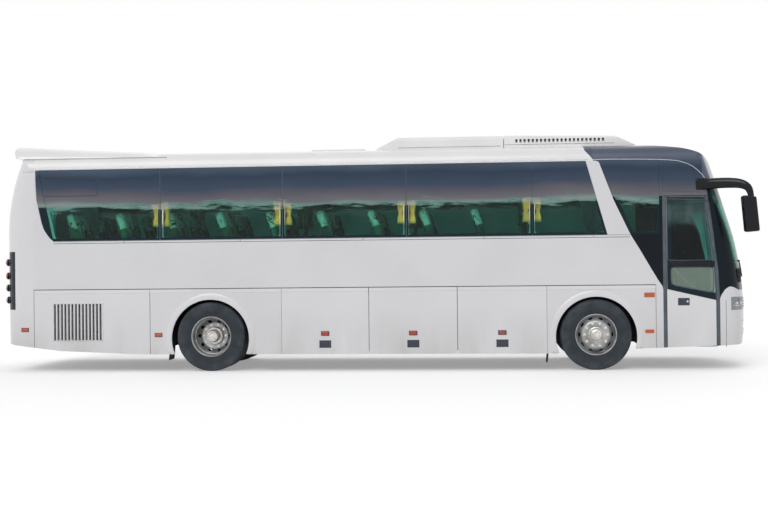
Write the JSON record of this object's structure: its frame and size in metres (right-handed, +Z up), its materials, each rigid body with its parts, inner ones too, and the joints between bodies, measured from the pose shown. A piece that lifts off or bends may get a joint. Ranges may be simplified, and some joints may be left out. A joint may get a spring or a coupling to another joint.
{
  "type": "coach bus",
  "caption": "Long-distance passenger coach with glazed saloon, plug door, underfloor luggage bays, roof air-conditioning and steerable front wheels.",
  "frame": {"origin": "centre of the plan at ground level, under the middle of the overall length", "axes": "+X to the front of the coach, +Y to its left side, +Z up"},
  "size_m": [11.302, 3.1, 3.497],
  "materials": {
    "body_white": "clear-coated white",
    "body_dark": "clear-coated dark blue-grey",
    "mask_black": "gloss black",
    "glass_tint": "tinted safety glass",
    "glass_clear": "laminated windscreen glass",
    "lamp_clear": "clear moulded lens",
    "lamp_red": "moulded lens",
    "rubber": "matt rubber",
    "tyre": "matt tyre rubber",
    "rim_steel": "silver paint",
    "chassis": "satin black",
    "cast": "cast",
    "floor": "floor covering",
    "interior": "moulded",
    "seat": "woven",
    "curtain": "pleated",
    "roof_unit": "moulded white"
  },
  "bodies": {
    "coach": {"side_wall_right": "body_white", "side_wall_left": "body_white", "roof": "body_white", "roof_front": "body_dark", "rear_cap": "body_white", "front_bumper": "body_white", "front_mask": "mask_black", "windscreen": "glass_clear", "side_glass": "glass_tint", "rear_window": "glass_tint", "door_seals": "rubber", "headlamps": "lamp_clear", "tail_lamps": "lamp_red", "marker_lamps": "lamp_red", "saloon_floor": "floor", "driver_platform": "floor", "luggage_bays": "chassis", "chassis_frame": "chassis", "wheel_housings": "chassis", "front_axle": "cast", "rear_axle": "cast", "engine": "cast", "passenger_seats": "seat", "driver_seat": "seat", "dashboard": "interior", "steering_wheel": "mask_black", "luggage_racks": "interior", "curtains": "curtain", "ac_rear": "roof_unit", "ac_front": "roof_unit", "rear_spoiler": "body_white", "mirror_right": "mask_black", "mirror_left": "mask_black", "wipers": "mask_black"},
    "passenger_door": {"passenger_door": "body_white", "door_glass": "glass_tint"},
    "door_column": {"door_column": "chassis"},
    "engine_door": {"engine_door": "body_white"},
    "roof_hatch": {"roof_hatch": "body_white"},
    "rear_flap_right": {"rear_flap_right": "body_white"},
    "rear_flap_left": {"rear_flap_left": "body_white"},
    "knuckle_right": {"knuckle_right": "cast"},
    "knuckle_left": {"knuckle_left": "cast"},
    "wheel_front_right": {"rim_front_right": "rim_steel", "tyre_front_right": "tyre"},
    "wheel_front_left": {"rim_front_left": "rim_steel", "tyre_front_left": "tyre"},
    "wheels_rear_right": {"rims_rear_right": "rim_steel", "tyres_rear_right": "tyre"},
    "wheels_rear_left": {"rims_rear_left": "rim_steel", "tyres_rear_left": "tyre"},
    "bay_door_right_1": {"bay_door_right_1": "body_white"},
    "bay_door_right_2": {"bay_door_right_2": "body_white"},
    "bay_door_right_3": {"bay_door_right_3": "body_white"},
    "bay_door_left_1": {"bay_door_left_1": "body_white"},
    "bay_door_left_2": {"bay_door_left_2": "body_white"},
    "bay_door_left_3": {"bay_door_left_3": "body_white"}
  },
  "joints": [
    {"name": "door_column_swing", "type": "hinge", "parent": "coach", "child": "door_column", "pos_m": [4.965, -1.12, 0.37], "axis": [0, 0, 1], "range_deg": [0, 108]},
    {"name": "door_leaf_swing", "type": "hinge", "parent": "door_column", "child": "passenger_door", "pos_m": [4.485, -1.12, 0.52], "axis": [0, 0, -1], "range_deg": [0, 108]},
    {"name": "engine_door_lift", "type": "hinge", "parent": "coach", "child": "engine_door", "pos_m": [-5.645, 0, 1.78], "axis": [0, 1, 0], "range_deg": [0, 80]},
    {"name": "roof_hatch_lift", "type": "hinge", "parent": "coach", "child": "roof_hatch", "pos_m": [-0.962, 0, 3.3653], "axis": [0, -1, 0], "range_deg": [0, 75]},
    {"name": "steer_right", "type": "hinge", "parent": "coach", "child": "knuckle_right", "pos_m": [3.345, -0.9, 0.522], "axis": [0, 0, 1], "range_deg": [-36, 36]},
    {"name": "steer_left", "type": "hinge", "parent": "coach", "child": "knuckle_left", "pos_m": [3.345, 0.9, 0.522], "axis": [0, 0, 1], "range_deg": [-36, 36]},
    {"name": "wheel_front_right_spin", "type": "hinge", "parent": "knuckle_right", "child": "wheel_front_right", "pos_m": [3.345, -1.075, 0.522], "axis": [0, 1, 0], "continuous": true},
    {"name": "wheel_front_left_spin", "type": "hinge", "parent": "knuckle_left", "child": "wheel_front_left", "pos_m": [3.345, 1.075, 0.522], "axis": [0, 1, 0], "continuous": true},
    {"name": "wheels_rear_right_spin", "type": "hinge", "parent": "coach", "child": "wheels_rear_right", "pos_m": [-2.395, -1.075, 0.522], "axis": [0, 1, 0], "continuous": true},
    {"name": "wheels_rear_left_spin", "type": "hinge", "parent": "coach", "child": "wheels_rear_left", "pos_m": [-2.395, 1.075, 0.522], "axis": [0, 1, 0], "continuous": true},
    {"name": "bay_door_right_1_lift", "type": "hinge", "parent": "coach", "child": "bay_door_right_1", "pos_m": [1.9745, -1.25, 1.25], "axis": [-1, 0, 0], "range_deg": [0, 95]},
    {"name": "bay_door_right_2_lift", "type": "hinge", "parent": "coach", "child": "bay_door_right_2", "pos_m": [0.6595, -1.25, 1.25], "axis": [-1, 0, 0], "range_deg": [0, 95]},
    {"name": "bay_door_right_3_lift", "type": "hinge", "parent": "coach", "child": "bay_door_right_3", "pos_m": [-0.6555, -1.25, 1.25], "axis": [-1, 0, 0], "range_deg": [0, 95]},
    {"name": "rear_flap_right_lift", "type": "hinge", "parent": "coach", "child": "rear_flap_right", "pos_m": [-4.2185, -1.25, 1.25], "axis": [-1, 0, 0], "range_deg": [0, 95]},
    {"name": "bay_door_left_1_lift", "type": "hinge", "parent": "coach", "child": "bay_door_left_1", "pos_m": [1.9745, 1.25, 1.25], "axis": [1, 0, 0], "range_deg": [0, 95]},
    {"name": "bay_door_left_2_lift", "type": "hinge", "parent": "coach", "child": "bay_door_left_2", "pos_m": [0.6595, 1.25, 1.25], "axis": [1, 0, 0], "range_deg": [0, 95]},
    {"name": "bay_door_left_3_lift", "type": "hinge", "parent": "coach", "child": "bay_door_left_3", "pos_m": [-0.6555, 1.25, 1.25], "axis": [1, 0, 0], "range_deg": [0, 95]},
    {"name": "rear_flap_left_lift", "type": "hinge", "parent": "coach", "child": "rear_flap_left", "pos_m": [-4.2185, 1.25, 1.25], "axis": [1, 0, 0], "range_deg": [0, 95]}
  ],
  "couplings": [
    {"joint": "door_leaf_swing", "follows": "door_column_swing", "ratio": 1},
    {"joint": "steer_left", "follows": "steer_right", "ratio": 1}
  ]
}
